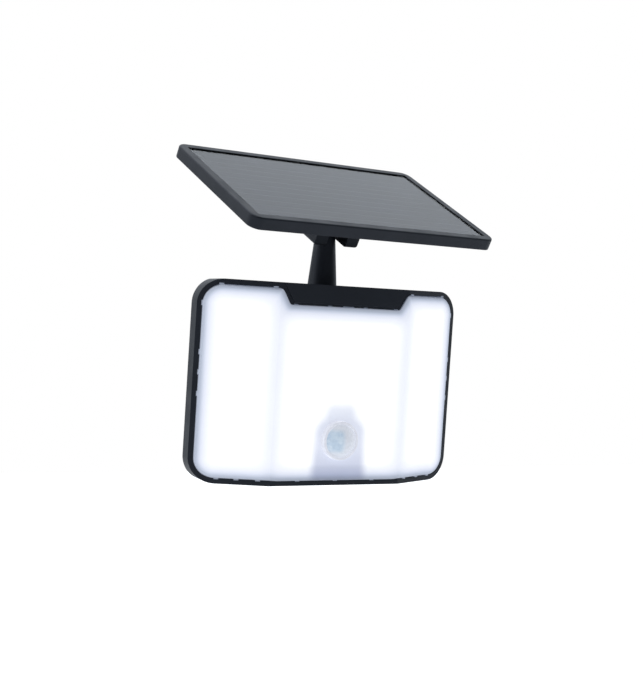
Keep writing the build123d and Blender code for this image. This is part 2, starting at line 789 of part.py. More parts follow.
with BuildPart() as cover_screws:
    with BuildSketch(facing_front(HEAD, cover_back - cover_screw_sink)):
        with Locations(*cover_screw_places):
            Circle(cover_screw_head_radius)
            RegularPolygon(1.1, 6, mode=Mode.SUBTRACT)
    extrude(amount=-cover_screw_head)
    with BuildSketch(facing_front(HEAD, cover_back - cover_screw_sink)):
        with Locations(*cover_screw_places):
            Circle(cover_screw_head_radius)
    extrude(amount=-0.4)
    with BuildSketch(facing_front(HEAD, cover_back - cover_screw_sink)):
        with Locations(*cover_screw_places):
            Circle(cover_screw_hole - running_gap)
    extrude(amount=cover_screw_length)
write(cover_screws, "cover_screws")

# ---------------------------------------------------------------- mode button
with BuildPart() as mode_button:
    with BuildSketch(facing_front(HEAD, cover_front - 0.3, x=button_x, z=button_height)):
        Circle(button_radius)
    extrude(amount=-(cover_thickness + 1.5))
    fillet(mode_button.faces().sort_by(Axis(HEAD.origin, HEAD.y_dir))[-1].edges(), 1.0)
    with BuildSketch(facing_front(HEAD, cover_front - 0.3, x=button_x, z=button_height)):
        Circle(button_radius + 1.4)
    extrude(amount=1.0)
    stem_gap = button_travel + 0.2
    with BuildSketch(facing_front(HEAD, cover_front - 1.0, x=button_x, z=button_height)):
        Circle(2)
    extrude(amount=cover_front - 1.0 - (pcb_back + 5.6 + stem_gap))
write(mode_button, "mode_button")

# ---------------------------------------------------------------- hinge on the back of the head
ear_face = head_tongue_half + 0.1 + hinge_washer + 0.1
ear_radius = 10.0

with BuildPart() as head_bracket:
    with BuildSketch(facing_front(HEAD, cover_back, z=head_pivot_height)):
        RectangleRounded(bracket_width, bracket_height, 5)
    extrude(amount=-bracket_base)
    for side in (-1, 1):
        with BuildSketch(facing_side(HEAD, side * ear_face, y=head_pivot_depth, z=head_pivot_height)):
            Circle(ear_radius)
            with Locations(((cover_back - head_pivot_depth) / 2, 0)):
                Rectangle(head_pivot_depth - cover_back, 2 * ear_radius)
        extrude(amount=side * head_ear_thickness)
    with BuildSketch(facing_side(HEAD, -40, y=head_pivot_depth, z=head_pivot_height)):
        Circle(hinge_bolt_radius + 0.1)
    extrude(amount=80, mode=Mode.SUBTRACT)
    with BuildSketch(facing_front(HEAD, cover_back + bracket_base)):
        with Locations(*bracket_screw_places):
            Circle(1.6)
    extrude(amount=bracket_base + 1, mode=Mode.SUBTRACT)
write(head_bracket, "head_bracket")

with BuildPart() as bracket_screws:
    with BuildSketch(facing_front(HEAD, cover_back + bracket_base)):
        with Locations(*bracket_screw_places):
            Circle(2.8)
            Rectangle(3.4, 0.8, mode=Mode.SUBTRACT)
            Rectangle(0.8, 3.4, mode=Mode.SUBTRACT)
    extrude(amount=-1.8)
    with BuildSketch(facing_front(HEAD, cover_back + bracket_base)):
        with Locations(*bracket_screw_places):
            Circle(2.8)
    extrude(amount=-0.8)
    with BuildSketch(facing_front(HEAD, cover_back + bracket_base)):
        with Locations(*bracket_screw_places):
            Circle(1.2)
    extrude(amount=bracket_base + cover_thickness)
write(bracket_screws, "bracket_screws")

ear_out = ear_face + head_ear_thickness

with BuildPart() as tilt_bolt:
    with BuildSketch(facing_side(PIVOT, -ear_out - 4)):
        RegularPolygon(5.0, 6, major_radius=False)
    extrude(amount=4)
    with BuildSketch(facing_side(PIVOT, -ear_out)):
        Circle(hinge_bolt_radius)
    extrude(amount=2 * ear_out + 11)
write(tilt_bolt, "tilt_bolt")

with BuildPart() as tilt_washers:
    for side in (-1, 1):
        with BuildSketch(facing_side(PIVOT, side * (head_tongue_half + 0.15))):
            Circle(8)
            Circle(hinge_bolt_radius + 0.1, mode=Mode.SUBTRACT)
        extrude(amount=side * hinge_washer)
write(tilt_washers, "tilt_washers")

with BuildPart() as tilt_knob:
    knob_start = ear_out + 0.2
    with BuildSketch(facing_side(PIVOT, knob_start)):
        Circle(7)
    extrude(amount=12)
    with BuildSketch(facing_side(PIVOT, knob_start + 3)):
        with PolarLocations(6.0, 2, start_angle=25):
            RectangleRounded(9, 5, 2)
    extrude(amount=9)
    with BuildSketch(facing_side(PIVOT, knob_start)):
        Circle(hinge_bolt_radius + 0.02)
    extrude(amount=11, mode=Mode.SUBTRACT)
write(tilt_knob, "tilt_knob")

with BuildPart() as pan_knuckle:
    barrel_half = lug_inner - 0.1 - hinge_washer
    with BuildSketch(level(WALL, -barrel_half, y=-pan_from_wall)):
        Circle(head_tongue_half)
    extrude(amount=2 * barrel_half)
    with BuildSketch(facing_side(WALL, -head_tongue_half, y=-pivot_from_wall)):
        Circle(head_tongue_radius)
    extrude(amount=2 * head_tongue_half)
    with BuildSketch(facing_side(WALL, -head_tongue_half + 1, y=-(pivot_from_wall + pan_from_wall) / 2)):
        Rectangle(pivot_from_wall - pan_from_wall, 2 * head_tongue_radius - 2)
    extrude(amount=2 * head_tongue_half - 2)
    with BuildSketch(level(WALL, -20, y=-pan_from_wall)):
        Circle(hinge_bolt_radius + running_gap)
    extrude(amount=40, mode=Mode.SUBTRACT)
    with BuildSketch(facing_side(WALL, -20, y=-pivot_from_wall)):
        Circle(hinge_bolt_radius + running_gap)
    extrude(amount=40, mode=Mode.SUBTRACT)
write(pan_knuckle, "pan_knuckle")

# ---------------------------------------------------------------- wall bracket
lug_outer = lug_inner + lug_thickness

with BuildPart() as wall_bracket:
    with BuildSketch(facing_front(WALL, 0)):
        RectangleRounded(plate_width, plate_height, 10)
    extrude(amount=plate_thickness)
    front_edges = wall_bracket.faces().sort_by(Axis.Y)[0].edges()
    fillet(front_edges, 1.5)
    for side in (-1, 1):
        with BuildSketch(level(WALL, side * lug_inner, y=-pan_from_wall)):
            Circle(lug_radius)
            with Locations((0, (pan_from_wall - plate_thickness + 1) / 2)):
                Rectangle(2 * lug_radius, pan_from_wall - plate_thickness + 1)
        extrude(amount=side * lug_thickness)
        # Gusset between the lug and the plate
        with BuildSketch(facing_side(WALL, -2, y=-plate_thickness + 0.5, z=side * lug_outer)):
            Polygon((0, 0), (-6, 0), (0, side * 12), align=None)
        extrude(amount=4)
    with BuildSketch(level(WALL, -lug_outer - 1, y=-pan_from_wall)):
        Circle(hinge_bolt_radius + running_gap)
    extrude(amount=2 * lug_outer + 2, mode=Mode.SUBTRACT)
    with BuildSketch(facing_front(WALL, 0)):
        with GridLocations(plate_hole_spacing_x, plate_hole_spacing_z, 2, 2):
            Circle(plate_hole_radius)
    extrude(amount=plate_thickness, mode=Mode.SUBTRACT)
write(wall_bracket, "wall_bracket")

with BuildPart() as pan_bolt:
    with BuildSketch(level(WALL, lug_outer, y=-pan_from_wall)):
        RegularPolygon(5.0, 6, major_radius=False)
    extrude(amount=4)
    with BuildSketch(level(WALL, lug_outer, y=-pan_from_wall)):
        Circle(hinge_bolt_radius)
    extrude(amount=-(2 * lug_outer + 6.5))
write(pan_bolt, "pan_bolt")

with BuildPart() as pan_nut:
    with BuildSketch(level(WALL, -lug_outer, y=-pan_from_wall)):
        RegularPolygon(5.0, 6, major_radius=False)
        Circle(hinge_bolt_radius + 0.02, mode=Mode.SUBTRACT)
    extrude(amount=-5)
write(pan_nut, "pan_nut")

with BuildPart() as pan_washers:
    for side in (-1, 1):
        with BuildSketch(level(WALL, side * lug_inner, y=-pan_from_wall)):
            Circle(7.8)
            Circle(hinge_bolt_radius + running_gap, mode=Mode.SUBTRACT)
        extrude(amount=-side * hinge_washer)
write(pan_washers, "pan_washers")

# ---------------------------------------------------------------- post
post_foot = washer_thickness + 0.1 - post_seat
groove_top = -journal_length + 0.4
lead_bore = 4.2

with BuildPart() as swivel_washer:
    with BuildSketch(level(POST, -post_seat)):
        Circle(post_base_radius - 0.4)
        Circle(journal_radius + 0.1, mode=Mode.SUBTRACT)
    extrude(amount=washer_thickness)
write(swivel_washer, "swivel_washer")

with BuildPart() as panel_post:
    with BuildSketch(facing_front(POST, 0)):
        shaft_top = pivot_height - 3
        Polygon(
            (0, -journal_length - 2),
            (journal_radius, -journal_length - 2),
            (journal_radius, post_foot),
            (post_base_radius - post_slope * post_foot, post_foot),
            (post_base_radius - post_slope * shaft_top, shaft_top),
            (0, shaft_top),
            align=None,
        )
    revolve(axis=Axis(POST.origin, POST.z_dir))
    with BuildSketch(facing_side(POST, -tongue_half, z=pivot_height)):
        Circle(tongue_radius)
    extrude(amount=2 * tongue_half)
    with BuildSketch(facing_side(POST, -20, z=pivot_height)):
        Circle(tilt_bolt_radius + running_gap)
    extrude(amount=40, mode=Mode.SUBTRACT)
    with BuildSketch(level(POST, groove_top)):
        Circle(journal_radius + 1)
        Circle(journal_radius - 1.4, mode=Mode.SUBTRACT)
    extrude(amount=-1.1, mode=Mode.SUBTRACT)
    with BuildSketch(level(POST, -journal_length - 2)):
        Circle(lead_bore)
    extrude(amount=journal_length + 34, mode=Mode.SUBTRACT)
    # Outlet for the panel's lead, at the back under the hinge
    with BuildSketch(facing_front(POST, 0, z=29)):
        Circle(2.5)
    extrude(amount=-20, mode=Mode.SUBTRACT)
write(panel_post, "panel_post")

with BuildPart() as post_clip:
    with BuildSketch(level(POST, groove_top - 0.05)):
        Circle(journal_radius + 1.6)
        Circle(journal_radius - 1.3, mode=Mode.SUBTRACT)
        with Locations((0, -journal_radius)):
            Rectangle(6, 12, mode=Mode.SUBTRACT)
    extrude(amount=-1.0)
write(post_clip, "post_clip")

with BuildPart() as post_grommet:
    with BuildSketch(facing_front(POST, 6.0, z=29)):
        Circle(2.45)
        Circle(1.4, mode=Mode.SUBTRACT)
    extrude(amount=-2.6)
    with BuildSketch(facing_front(POST, 8.4, z=29)):
        Circle(3.4)
        Circle(1.4, mode=Mode.SUBTRACT)
    extrude(amount=-1.0)
write(post_grommet, "post_grommet")

# ---------------------------------------------------------------- solar panel
panel_top = panel_rise + panel_thickness
flange_bottom = panel_top - glass_recess
glass_top = flange_bottom - glass_seal
glass_bottom = glass_top - glass_thickness
cell_bottom = glass_bottom - cell_thickness
backsheet_bottom = cell_bottom - backsheet_thickness
plate_top = panel_rise + back_plate_thickness
glass_length = panel_length - 2 * frame_wall - 0.8
glass_width = panel_width - 2 * frame_wall - 0.8
window_length = panel_length - 2 * panel_border
window_width = panel_width - 2 * panel_border

with BuildPart() as panel_frame:
    with BuildSketch(level(PANEL, panel_rise, y=-panel_forward)):
        RectangleRounded(panel_length, panel_width, panel_radius)
    extrude(amount=panel_thickness)
    top_face = panel_frame.faces().sort_by(Axis(PANEL.origin, PANEL.z_dir))[-1]
    fillet(top_face.edges(), frame_top_radius)
    bottom_face = panel_frame.faces().sort_by(Axis(PANEL.origin, PANEL.z_dir))[0]
    fillet(bottom_face.edges(), frame_low_radius)
    with BuildSketch(level(PANEL, flange_bottom, y=-panel_forward)):
        inner_radius = panel_radius - frame_wall
        RectangleRounded(panel_length - 2 * frame_wall, panel_width - 2 * frame_wall, inner_radius)
    extrude(amount=-panel_thickness, mode=Mode.SUBTRACT)
    with BuildSketch(level(PANEL, panel_top, y=-panel_forward)):
        Rectangle(window_length, window_width)
    extrude(amount=-2 * glass_recess, mode=Mode.SUBTRACT)
write(panel_frame, "panel_frame")

with BuildPart() as glass_tape:
    with BuildSketch(level(PANEL, glass_top, y=-panel_forward)):
        RectangleRounded(glass_length, glass_width, panel_radius - frame_wall)
        Rectangle(window_length + 0.6, window_width + 0.6, mode=Mode.SUBTRACT)
    extrude(amount=glass_seal)
write(glass_tape, "glass_tape")

for name, bottom, thickness in (
    ("panel_glass", glass_bottom, glass_thickness),
    ("panel_backsheet", backsheet_bottom, backsheet_thickness),
):
    with BuildPart() as sheet:
        with BuildSketch(level(PANEL, bottom, y=-panel_forward)):
            RectangleRounded(glass_length, glass_width, panel_radius - frame_wall)
        extrude(amount=thickness)
    write(sheet, name)

cell_pitch = (window_width - 3) / cell_rows
cell_length_along = window_length - 2
ribbon_width = 1.6

with BuildPart() as solar_cells:
    with BuildSketch(level(PANEL, cell_bottom, y=-panel_forward)):
        with GridLocations(0, cell_pitch, 1, cell_rows):
            Rectangle(cell_length_along, cell_pitch - 0.3)
    extrude(amount=cell_thickness)
write(solar_cells, "solar_cells")

with BuildPart() as cell_ribbons:
    with BuildSketch(level(PANEL, cell_bottom, y=-panel_forward)):
        with GridLocations(cell_length_along + 4 + ribbon_width / 2, 0, 2, 1):
            Rectangle(ribbon_width, window_width - 6)
    extrude(amount=cell_thickness)
write(cell_ribbons, "cell_ribbons")

with BuildPart() as terminal_board:
    with BuildSketch(level(PANEL, backsheet_bottom, y=22)):
        Rectangle(24, 12)
    extrude(amount=-1.0)
write(terminal_board, "terminal_board")

with BuildPart() as panel_back_plate:
    # Two ears, rounded where they swing past the post
    for side in (-1, 1):
        with BuildSketch(facing_front(PANEL, -ear_front)):
            with Locations((side * (ear_inner + ear_outer) / 2, (panel_rise + 1 - ear_drop) / 2)):
                Rectangle(ear_outer - ear_inner, panel_rise + 1 + ear_drop)
        extrude(amount=-(ear_front + ear_back))
    low_edges = panel_back_plate.edges().filter_by(Axis(PANEL.origin, PANEL.y_dir))
    across = Axis(PANEL.origin, PANEL.x_dir)
    low_outer = low_edges.group_by(Axis(PANEL.origin, PANEL.z_dir))[0].sort_by(across)
    fillet([low_outer[0], low_outer[-1]], 2.5)
    with BuildSketch(facing_side(PANEL, -60)) as side_view:
        with Locations(((ear_back - ear_front) / 2, (panel_rise + 2 - ear_drop) / 2)):
            Rectangle(ear_back + ear_front, panel_rise + 2 + ear_drop)
        fillet(side_view.vertices().group_by(Axis.Y)[0].sort_by(Axis.X)[0], 1.5)
        fillet(side_view.vertices().group_by(Axis.Y)[0].sort_by(Axis.X)[-1], 9)
    extrude(amount=120, mode=Mode.INTERSECT)
    plate_gap = 2 * (frame_wall + 0.2)
    with BuildSketch(level(PANEL, panel_rise, y=-panel_forward)):
        RectangleRounded(panel_length - plate_gap, panel_width - plate_gap, panel_radius - frame_wall)
    extrude(amount=back_plate_thickness)
    with BuildSketch(facing_side(PANEL, -40)):
        Circle(tilt_bolt_radius + 0.1)
    extrude(amount=80, mode=Mode.SUBTRACT)
    # Pockets for the bolt's head and nut, on the outer sides of the ears
    for side in (-1, 1):
        with BuildSketch(facing_side(PANEL, side * (ear_outer - ear_recess))):
            Circle(5.4)
        extrude(amount=side * 30, mode=Mode.SUBTRACT)
    # Ribs under the laminate
    with BuildSketch(level(PANEL, plate_top, y=-panel_forward)):
        with GridLocations(38, 0, 6, 1):
            Rectangle(1.2, glass_width - 20)
    extrude(amount=backsheet_bottom - plate_top)
    with BuildSketch(level(PANEL, panel_rise - 1, y=22)):
        Circle(3.0)
    extrude(amount=6, mode=Mode.SUBTRACT)
write(panel_back_plate, "panel_back_plate")

with BuildPart() as panel_grommet:
    with BuildSketch(level(PANEL, panel_rise - 1.2, y=22)):
        Circle(4.4)
        Circle(1.4, mode=Mode.SUBTRACT)
    extrude(amount=1.2)
    with BuildSketch(level(PANEL, panel_rise, y=22)):
        Circle(2.95)
        Circle(1.4, mode=Mode.SUBTRACT)
    extrude(amount=back_plate_thickness)
write(panel_grommet, "panel_grommet")

recess_floor = ear_outer - ear_recess
plain_washer = 0.8

with BuildPart() as panel_bolt:
    with BuildSketch(facing_side(PANEL, -recess_floor - plain_washer)):
        Circle(4.25)
    extrude(amount=-4.5)
    with BuildSketch(facing_side(PANEL, -recess_floor - plain_washer - 4.5)):
        RegularPolygon(2.0, 6, major_radius=False)
    extrude(amount=2.5, mode=Mode.SUBTRACT)
    with BuildSketch(facing_side(PANEL, -recess_floor - plain_washer)):
        Circle(tilt_bolt_radius)
    extrude(amount=2 * (recess_floor + plain_washer) + 5.0)
write(panel_bolt, "panel_bolt")

with BuildPart() as panel_bolt_nut:
    with BuildSketch(facing_side(PANEL, recess_floor + plain_washer)):
        RegularPolygon(4.0, 6, major_radius=False)
        Circle(tilt_bolt_radius + 0.02, mode=Mode.SUBTRACT)
    extrude(amount=4.0)
write(panel_bolt_nut, "panel_bolt_nut")

with BuildPart() as panel_bolt_washers:
    for side in (-1, 1):
        with BuildSketch(facing_side(PANEL, side * recess_floor)):
            Circle(5.0)
            Circle(tilt_bolt_radius + 0.1, mode=Mode.SUBTRACT)
        extrude(amount=side * plain_washer)
write(panel_bolt_washers, "panel_bolt_washers")
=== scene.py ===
import json
from math import asin, cos, degrees, pi, radians, sin, sqrt

import bpy
from mathutils import Matrix, Vector


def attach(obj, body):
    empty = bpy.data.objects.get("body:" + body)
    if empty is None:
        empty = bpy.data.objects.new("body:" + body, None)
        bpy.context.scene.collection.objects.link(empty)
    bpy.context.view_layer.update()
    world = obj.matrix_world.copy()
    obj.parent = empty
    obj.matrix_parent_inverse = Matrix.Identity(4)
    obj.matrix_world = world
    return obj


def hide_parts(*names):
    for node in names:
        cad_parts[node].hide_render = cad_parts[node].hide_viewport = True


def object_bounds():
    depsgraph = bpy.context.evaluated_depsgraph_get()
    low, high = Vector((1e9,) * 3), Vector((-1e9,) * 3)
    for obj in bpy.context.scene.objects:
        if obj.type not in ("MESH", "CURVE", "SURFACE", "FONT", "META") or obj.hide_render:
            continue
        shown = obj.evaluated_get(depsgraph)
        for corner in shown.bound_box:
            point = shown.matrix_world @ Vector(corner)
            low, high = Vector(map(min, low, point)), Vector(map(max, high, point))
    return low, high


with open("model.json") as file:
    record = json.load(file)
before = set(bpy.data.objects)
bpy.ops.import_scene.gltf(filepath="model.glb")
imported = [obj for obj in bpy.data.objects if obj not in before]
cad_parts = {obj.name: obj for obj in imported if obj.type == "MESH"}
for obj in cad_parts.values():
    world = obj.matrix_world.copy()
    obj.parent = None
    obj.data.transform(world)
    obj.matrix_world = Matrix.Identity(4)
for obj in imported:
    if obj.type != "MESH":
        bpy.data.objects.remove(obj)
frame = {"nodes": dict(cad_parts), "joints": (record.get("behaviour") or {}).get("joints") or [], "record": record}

cad_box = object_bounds()
nodes = frame["nodes"]
record = frame["record"]
joints = {joint["name"]: joint for joint in frame["joints"]}

# ---------------------------------------------------------------- sizes, in metres
HEAD_WIDTH = 0.210
HEAD_HEIGHT = 0.1425
POST_DEPTH = 0.0404
FACET_HALF = 0.052
RIM = 0.00375              # width of the rim and the gap round the diffuser
DIFFUSER_CORNER = 0.01425
BEZEL_LOW = 0.1272         # height of the bezel's low edge
BEZEL_LOW_HALF = 0.0439
BEZEL_SLOPE = 0.58         # how fast the bezel widens with height
SENSOR_HEIGHT = 0.0325
LENS_RADIUS = 0.0118
LENS_STAND = 0.0048        # top of the lens's straight wall in front of the face
LENS_RISE = 0.0065         # height of the dome over its wall
LENS_WALL = 0.0008
LENS_SEAT = 0.0012         # the lens's flange behind the face
LENS_FLANGE = 0.001
LENS_FLANGE_RADIUS = 0.0133
PANEL_TILT = radians(25.9)
FINGER_PITCH = 0.0018      # silver lines on the cells

# ---------------------------------------------------------------- light on the diffuser, in metres
GLOW_REACH = 0.012         # distance from the rim to the full light
GLOW_WIDER = 0.0012        # the light reaches closer to the two ends
GLOW_DOWN = 0.0003         # and sits a little low
BEZEL_CORNER_SOFT = 0.004
SEAM_DEPTH = 0.0064        # the seams are lit as much as a point about this far inside the rim
SEAM_SOFT = 0.010          # width over which the light turns round at a seam
SEAM_SPREAD = 0.6          # how much slower the light comes back beside a seam than beside the rim
ZONE_CORNER_SOFT = 0.012
SHADOW_SHIFT = 0.0012      # middle of the sensor's shadow, to the right of the sensor
FOOT_HALF_WIDTH = 0.0195   # wide lower part of the shadow
FOOT_MIDDLE = 0.015
FOOT_HALF_HEIGHT = 0.0315
FOOT_CORNER = 0.009
NECK_HALF_WIDTH = 0.0115   # its narrow upper part
NECK_MIDDLE = 0.045
NECK_HALF_HEIGHT = 0.0135
NECK_CORNER = 0.006
SHOULDER_SOFT = 0.014      # rounding between the two
SHADOW_EDGE = 0.0044       # half the width of the shadow's soft edge


# ---------------------------------------------------------------- places
def frame_of(origin, x, y, z):
    """Matrix of a frame from its origin and its three directions."""
    turn = Matrix((x, y, z)).transposed().to_4x4()
    return Matrix.Translation(origin) @ turn


def head_frame():
    """Frame of the lamp head: origin at the bottom middle of the front, -Y towards the viewer."""
    x = Vector((1, 0, 0))
    y = -Vector(joints["button_press"]["axis"])
    z = Vector(joints["panel_swivel"]["axis"])
    foot = Vector(joints["panel_swivel"]["pos_m"])
    return frame_of(foot - POST_DEPTH * y - HEAD_HEIGHT * z, x, y, z)


def panel_frame_place():
    """Frame of the panel: origin on its hinge, Z out of the glass."""
    x = Vector(joints["panel_tilt"]["axis"])
    upright = Vector(joints["panel_swivel"]["axis"])
    back = upright.cross(x).normalized()
    y = cos(PANEL_TILT) * back + sin(PANEL_TILT) * upright
    return frame_of(Vector(joints["panel_tilt"]["pos_m"]), x, y, x.cross(y))


HEAD = head_frame()
PANEL = panel_frame_place()


# ---------------------------------------------------------------- material helpers
def node(tree, kind, inputs=None, **settings):
    """Adds a shader node, with sockets to link or to set."""
    made = tree.nodes.new("ShaderNode" + kind)
    for name, value in settings.items():
        setattr(made, name, value)
    for name, value in (inputs or {}).items():
        if isinstance(value, bpy.types.NodeSocket):
            tree.links.new(value, made.inputs[name])
        else:
            made.inputs[name].default_value = value
    return made


def calc(tree, operation, *values, clamp=False):
    """Output of a Math node."""
    made = node(tree, "Math", dict(enumerate(values)), operation=operation, use_clamp=clamp)
    return made.outputs[0]


def ramp(tree, value, low, high, start=0.0, end=1.0, smooth=True):
    """Value carried from low..high to start..end, and held outside."""
    kind = "SMOOTHSTEP" if smooth else "LINEAR"
    inputs = {"Value": value, "From Min": low, "From Max": high, "To Min": start, "To Max": end}
    return node(tree, "MapRange", inputs, interpolation_type=kind).outputs["Result"]


def blend(tree, factor, first, second, mode="MIX"):
    """Colour mixed by a factor."""
    made = node(tree, "Mix", data_type="RGBA", blend_type=mode)
    for socket, value in ((made.inputs[0], factor), (made.inputs[6], first), (made.inputs[7], second)):
        if isinstance(value, bpy.types.NodeSocket):
            tree.links.new(value, socket)
        else:
            socket.default_value = value
    return made.outputs[2]


def place(tree):
    """Point on the piece, in metres, moving with it."""
    return node(tree, "TexCoord").outputs["Object"]


def along(tree, where, axis):
    """Distance along one axis of a frame, in metres."""
    direction = where.col[axis].xyz
    dot = node(tree, "VectorMath", {0: place(tree), 1: direction}, operation="DOT_PRODUCT")
    return calc(tree, "SUBTRACT", dot.outputs["Value"], where.translation.dot(direction))


def noise(tree, scale, detail=2.0, vector=None):
    inputs = {"Vector": vector or place(tree), "Scale": scale, "Detail": detail}
    return node(tree, "TexNoise", inputs).outputs["Fac"]


def material(name, colour, roughness, **settings):
    """Principled material with its constant values set."""
    made = bpy.data.materials.new(name)
    made.use_nodes = True
    shader = made.node_tree.nodes["Principled BSDF"]
    shader.inputs["Base Color"].default_value = (*colour, 1)
    shader.inputs["Roughness"].default_value = roughness
    for key, value in settings.items():
        shader.inputs[key.replace("_", " ")].default_value = value
    made.diffuse_color = (*colour, 1)
    return made, made.node_tree, shader


def vary(tree, shader, colour, amount, scale):
    """Slow change of brightness over the surface."""
    low = tuple(c * (1 - amount) for c in colour) + (1,)
    high = tuple(c * (1 + amount) for c in colour) + (1,)
    mixed = blend(tree, ramp(tree, noise(tree, scale), 0.3, 0.7), low, high)
    tree.links.new(mixed, shader.inputs["Base Color"])
    return mixed


def rough(tree, shader, low, high, scale, detail=4.0):
    """Roughness that changes over the surface."""
    spread = ramp(tree, noise(tree, scale, detail), 0.3, 0.7, low, high)
    tree.links.new(spread, shader.inputs["Roughness"])


def relief(tree, shader, height, depth, edge=0.0, flat=False):
    """Bump of a real depth in metres, over edges softened by a small radius or over a truly flat sheet."""
    inputs = {"Height": height, "Distance": depth, "Strength": 1.0}
    if flat:
        inputs["Normal"] = node(tree, "NewGeometry").outputs["True Normal"]
    if edge:
        inputs["Normal"] = node(tree, "Bevel", {"Radius": edge}, samples=4).outputs["Normal"]
    bump = node(tree, "Bump", inputs)
    tree.links.new(bump.outputs["Normal"], shader.inputs["Normal"])


# ---------------------------------------------------------------- materials
def moulded(name, colour, roughness, grain=1900.0, depth=0.00003, edge=0.0004):
    """Moulded plastic: fine spark-eroded texture, uneven gloss, edges a little paler."""
    made, tree, shader = material(name, colour, roughness, IOR=1.34)
    shader.inputs["Specular Tint"].default_value = (0.68, 0.76, 0.92, 1)
    base = vary(tree, shader, colour, 0.12, 35.0)
    pits = node(tree, "TexVoronoi", {"Vector": place(tree), "Scale": grain}).outputs["Distance"]
    grainy = calc(tree, "MULTIPLY_ADD", pits, 0.6, noise(tree, grain * 0.6, 3.0))
    relief(tree, shader, grainy, depth, edge)
    rough(tree, shader, roughness - 0.05, roughness + 0.07, 60.0)
    # Colour made a little paler along the edges, where the bevelled normal turns away from the face's own normal
    soft = node(tree, "Bevel", {"Radius": 0.0007}, samples=4).outputs["Normal"]
    flat = node(tree, "NewGeometry").outputs["Normal"]
    facing = node(tree, "VectorMath", {0: soft, 1: flat}, operation="DOT_PRODUCT").outputs["Value"]
    paler_edge = ramp(tree, facing, 0.97, 0.8)
    lighter = tuple(min(1.0, c * 1.7 + 0.004) for c in colour) + (1,)
    tree.links.new(blend(tree, paler_edge, base, lighter), shader.inputs["Base Color"])
    return made


def metal(name, colour, roughness, streak):
    """Plated or tinned metal, finely brushed."""
    made, tree, shader = material(name, colour, roughness, Metallic=1.0)
    vary(tree, shader, colour, 0.08, 300.0)
    stretch = node(tree, "Mapping", {"Vector": place(tree), "Scale": (1, streak, streak)})
    brushed = noise(tree, 900.0, 4.0, stretch.outputs["Vector"])
    spread = ramp(tree, brushed, 0.3, 0.7, roughness - 0.08, roughness + 0.1)
    tree.links.new(spread, shader.inputs["Roughness"])
    relief(tree, shader, brushed, 0.00001, 0.0002)
    return made


def plain(name, colour, roughness, grain=1500.0, depth=0.00001, **settings):
    """Smooth plastic, board or film, faintly uneven."""
    made, tree, shader = material(name, colour, roughness, **settings)
    vary(tree, shader, colour, 0.05, 120.0)
    rough(tree, shader, roughness - 0.05, roughness + 0.05, 200.0)
    relief(tree, shader, noise(tree, grain, 3.0), depth, 0.00025)
    return made


def rounded_box(tree, x, z, half_x, half_z, radius):
    """Signed distance outside a rounded rectangle centred on x = z = 0, in metres."""
    out_x = calc(tree, "SUBTRACT", calc(tree, "ABSOLUTE", x), half_x - radius)
    out_z = calc(tree, "SUBTRACT", calc(tree, "ABSOLUTE", z), half_z - radius)
    beyond_x, beyond_z = calc(tree, "MAXIMUM", out_x, 0.0), calc(tree, "MAXIMUM", out_z, 0.0)
    outside = node(tree, "CombineXYZ", {0: beyond_x, 1: beyond_z})
    corner = node(tree, "VectorMath", {0: outside.outputs[0]}, operation="LENGTH").outputs["Value"]
    inside = calc(tree, "MINIMUM", calc(tree, "MAXIMUM", out_x, out_z), 0.0)
    return calc(tree, "SUBTRACT", calc(tree, "ADD", corner, inside), radius)


def distance_from_rim(tree):
    """How far inside the diffuser's outline a point is, in metres, seen from the front."""
    across = along(tree, HEAD, 0)
    height = along(tree, HEAD, 2)
    upright = calc(tree, "SUBTRACT", height, HEAD_HEIGHT / 2)
    raised = calc(tree, "ADD", upright, GLOW_DOWN)
    half_width = HEAD_WIDTH / 2 - RIM + GLOW_WIDER
    outline = rounded_box(tree, across, raised, half_width, HEAD_HEIGHT / 2 - RIM, DIFFUSER_CORNER)
    # The bezel's low edge and its two slanted ends
    below = calc(tree, "SUBTRACT", BEZEL_LOW, height)
    reach = calc(tree, "MULTIPLY_ADD", calc(tree, "SUBTRACT", height, BEZEL_LOW), BEZEL_SLOPE, BEZEL_LOW_HALF)
    past_end = calc(tree, "SUBTRACT", calc(tree, "ABSOLUTE", across), reach)
    beside = calc(tree, "MULTIPLY", past_end, 1 / sqrt(1 + BEZEL_SLOPE**2))
    clear = calc(tree, "SMOOTH_MAX", below, beside, BEZEL_CORNER_SOFT)
    return calc(tree, "MINIMUM", calc(tree, "MULTIPLY", outline, -1.0), clear)


def lit_depth(tree):
    """Distance into a lit zone: from the rim, and less strongly from the seams between the three faces."""
    across = calc(tree, "ABSOLUTE", along(tree, HEAD, 0))
    outward = calc(tree, "SUBTRACT", across, FACET_HALF)
    from_seam = calc(tree, "SMOOTH_MAX", outward, calc(tree, "MULTIPLY", outward, -1.0), SEAM_SOFT)
    zone = calc(tree, "MULTIPLY_ADD", from_seam, SEAM_SPREAD, SEAM_DEPTH)
    return calc(tree, "SMOOTH_MIN", distance_from_rim(tree), zone, ZONE_CORNER_SOFT)


